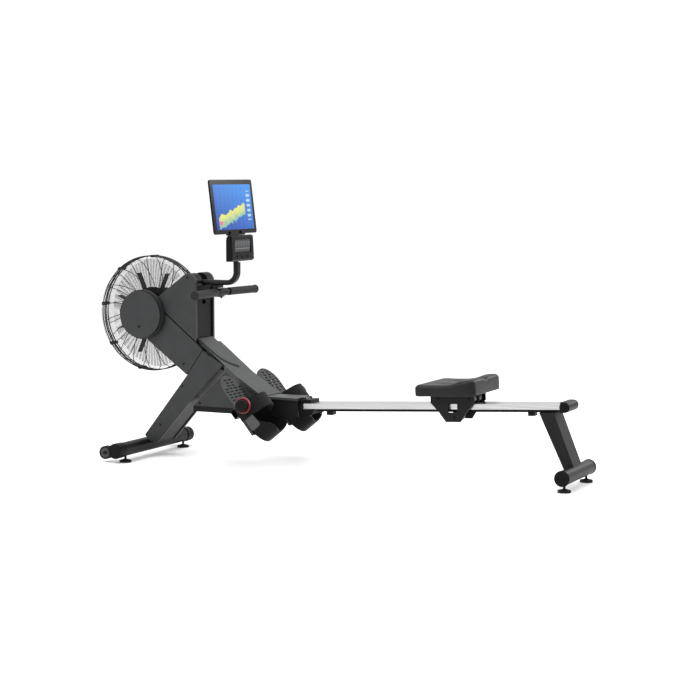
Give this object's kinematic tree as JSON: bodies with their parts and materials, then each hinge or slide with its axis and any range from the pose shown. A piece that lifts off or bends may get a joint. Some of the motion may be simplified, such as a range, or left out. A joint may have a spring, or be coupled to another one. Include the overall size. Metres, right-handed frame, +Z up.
{
  "type": "rowing machine",
  "caption": "Air rowing machine with a fan in a wire cage, a covered frame, a folding rail with a rolling seat, footrests, a pull handle and a console under a large display",
  "frame": {"origin": "on the floor, under the middle of the whole machine", "axes": "+X from the fan to the rear foot, +Y to the rower's right, +Z up"},
  "size_m": [2.2256, 0.604, 1.2073],
  "materials": {
    "frame_paint": "semi-gloss powder coat",
    "cover_grey": "fine grained moulded shell",
    "trim_black": "fine grained moulding",
    "cage_wire": "powder-coated wire",
    "bare_steel": "turned and zinc plated",
    "screw_black": "black oxide",
    "plate_plastic": "moulded with slots",
    "webbing": "woven webbing",
    "knob_red": "moulded knob",
    "rubber_black": "matt rubber",
    "wheel_rubber": "solid tyre on a moulded hub",
    "rail_aluminium": "brushed and anodised",
    "carriage_paint": "powder-coated plate",
    "roller_plastic": "cast roller",
    "seat_foam": "moulded foam with a grained skin",
    "display_glass": "smooth display glass"
  },
  "bodies": {
    "frame": {"main_frame": "frame_paint", "front_tube": "frame_paint", "front_caps": "trim_black", "wheel_bolts": "bare_steel", "leg_covers": "cover_grey", "arm_covers": "cover_grey", "upper_covers": "cover_grey", "gusset_covers": "cover_grey", "hub_covers": "cover_grey", "upright_cover": "trim_black", "top_cap": "trim_black", "spine_cover": "cover_grey", "neck_plate": "cover_grey", "cage_halves": "cage_wire", "fan_axle": "bare_steel", "console_arm": "frame_paint", "footplates": "plate_plastic", "foot_straps": "webbing", "cover_screws": "screw_black", "pivot_pins": "bare_steel", "drive_belt": "rubber_black"},
    "fan": {"fan_wheel": "trim_black", "fan_bearings": "bare_steel"},
    "handle": {"handle_bar": "bare_steel", "handle_grips": "rubber_black", "handle_clamp": "trim_black", "pull_strap": "webbing"},
    "spool": {"strap_spool": "bare_steel"},
    "clutch": {"clutch_pulley": "bare_steel"},
    "guide": {"guide_roller": "bare_steel"},
    "wheel_left": {"transport_wheel_left": "wheel_rubber"},
    "wheel_right": {"transport_wheel_right": "wheel_rubber"},
    "foot_front_left": {"front_foot_left": "rubber_black"},
    "foot_front_right": {"front_foot_right": "rubber_black"},
    "foot_rear_left": {"rear_foot_left": "rubber_black"},
    "foot_rear_right": {"rear_foot_right": "rubber_black"},
    "rail_beam": {"rail": "rail_aluminium", "rail_channel": "trim_black", "rail_socket": "trim_black", "rail_end_cap": "trim_black", "rear_support": "frame_paint", "rear_caps": "trim_black"},
    "seat": {"seat_pad": "seat_foam", "seat_base": "trim_black", "carriage_plates": "carriage_paint", "carriage_axles": "bare_steel"},
    "roller_front": {"rollers_front": "roller_plastic"},
    "roller_rear": {"rollers_rear": "roller_plastic"},
    "roller_low": {"roller_lower": "roller_plastic"},
    "heel_left": {"heel_cup_left": "trim_black"},
    "heel_right": {"heel_cup_right": "trim_black"},
    "knob_left": {"strap_knob_left": "knob_red"},
    "knob_right": {"strap_knob_right": "knob_red"},
    "console": {"console_body": "trim_black", "console_screen": "display_glass", "tablet": "display_glass", "tablet_holder": "trim_black"},
    "key_left": {"button_left": "trim_black"},
    "key_middle": {"button_middle": "trim_black"},
    "key_right": {"button_right": "trim_black"}
  },
  "joints": [
    {"name": "fan_spin", "type": "hinge", "parent": "frame", "child": "fan", "pos_m": [-0.86075, 0, 0.626], "axis": [0, 1, 0], "continuous": true},
    {"name": "handle_pull", "type": "slide", "parent": "frame", "child": "handle", "axis": [1, 0, 0], "range_m": [0, 1], "stiffness_N_per_m": 20, "springref_m": -0.2, "deforming": ["pull_strap"]},
    {"name": "spool_turn", "type": "hinge", "parent": "frame", "child": "spool", "pos_m": [-0.64275, 0, 0.469], "axis": [0, 1, 0], "range_deg": [0, 2205.7]},
    {"name": "clutch_turn", "type": "hinge", "parent": "frame", "child": "clutch", "pos_m": [-0.86075, 0, 0.626], "axis": [0, 1, 0], "range_deg": [0, 4609.7]},
    {"name": "guide_turn", "type": "hinge", "parent": "frame", "child": "guide", "pos_m": [-0.65475, 0, 0.65], "axis": [0, 1, 0], "range_deg": [0, 4094.6]},
    {"name": "wheel_left_roll", "type": "hinge", "parent": "frame", "child": "wheel_left", "pos_m": [-0.93625, -0.28, 0.042], "axis": [0, 1, 0], "continuous": true},
    {"name": "wheel_right_roll", "type": "hinge", "parent": "frame", "child": "wheel_right", "pos_m": [-0.93625, 0.28, 0.042], "axis": [0, 1, 0], "continuous": true},
    {"name": "front_foot_left_screw", "type": "slide", "parent": "frame", "child": "foot_front_left", "axis": [0, 0, -1], "range_m": [0, 0.01]},
    {"name": "front_foot_right_screw", "type": "slide", "parent": "frame", "child": "foot_front_right", "axis": [0, 0, -1], "range_m": [0, 0.01]},
    {"name": "rail_fold", "type": "hinge", "parent": "frame", "child": "rail_beam", "pos_m": [-0.10875, 0, 0.286], "axis": [0, -1, 0], "range_deg": [0, 87]},
    {"name": "rear_foot_left_screw", "type": "slide", "parent": "rail_beam", "child": "foot_rear_left", "axis": [0, 0, -1], "range_m": [0, 0.01]},
    {"name": "rear_foot_right_screw", "type": "slide", "parent": "rail_beam", "child": "foot_rear_right", "axis": [0, 0, -1], "range_m": [0, 0.01]},
    {"name": "seat_slide", "type": "slide", "parent": "rail_beam", "child": "seat", "axis": [0.9986, 0, 0.0532], "range_m": [-0.52, 0.27]},
    {"name": "roller_front_turn", "type": "hinge", "parent": "seat", "child": "roller_front", "pos_m": [0.51333, 0, 0.32467], "axis": [0, 1, 0], "range_deg": [-1600, 1600]},
    {"name": "roller_rear_turn", "type": "hinge", "parent": "seat", "child": "roller_rear", "pos_m": [0.64714, 0, 0.3318], "axis": [0, 1, 0], "range_deg": [-1600, 1600]},
    {"name": "roller_lower_turn", "type": "hinge", "parent": "seat", "child": "roller_low", "pos_m": [0.58413, 0, 0.25504], "axis": [0, 1, 0], "range_deg": [-1600, 1600]},
    {"name": "heel_left_adjust", "type": "slide", "parent": "frame", "child": "heel_left", "axis": [0.6293, 0, -0.7771], "range_m": [-0.025, 0.03]},
    {"name": "heel_right_adjust", "type": "slide", "parent": "frame", "child": "heel_right", "axis": [0.6293, 0, -0.7771], "range_m": [-0.025, 0.03]},
    {"name": "strap_knob_left_turn", "type": "hinge", "parent": "frame", "child": "knob_left", "pos_m": [-0.27498, -0.25, 0.27825], "axis": [0, 1, 0], "range_deg": [0, 300]},
    {"name": "strap_knob_right_turn", "type": "hinge", "parent": "frame", "child": "knob_right", "pos_m": [-0.27498, 0.25, 0.27825], "axis": [0, 1, 0], "range_deg": [0, 300]},
    {"name": "console_tilt", "type": "hinge", "parent": "frame", "child": "console", "pos_m": [-0.44675, 0, 0.874], "axis": [0, 1, 0], "range_deg": [-15, 15]},
    {"name": "button_left_press", "type": "slide", "parent": "console", "child": "key_left", "axis": [-1, 0, 0], "range_m": [0, 0.001], "stiffness_N_per_m": 300},
    {"name": "button_middle_press", "type": "slide", "parent": "console", "child": "key_middle", "axis": [-1, 0, 0], "range_m": [0, 0.001], "stiffness_N_per_m": 300},
    {"name": "button_right_press", "type": "slide", "parent": "console", "child": "key_right", "axis": [-1, 0, 0], "range_m": [0, 0.001], "stiffness_N_per_m": 300}
  ],
  "couplings": [
    {"joint": "spool_turn", "follows": "handle_pull", "rad_per_m": 38.462},
    {"joint": "clutch_turn", "follows": "handle_pull", "rad_per_m": 80.42},
    {"joint": "guide_turn", "follows": "handle_pull", "rad_per_m": 71.429},
    {"joint": "roller_front_turn", "follows": "seat_slide", "rad_per_m": 52.083},
    {"joint": "roller_rear_turn", "follows": "seat_slide", "rad_per_m": 52.083},
    {"joint": "roller_lower_turn", "follows": "seat_slide", "rad_per_m": -52.083}
  ]
}
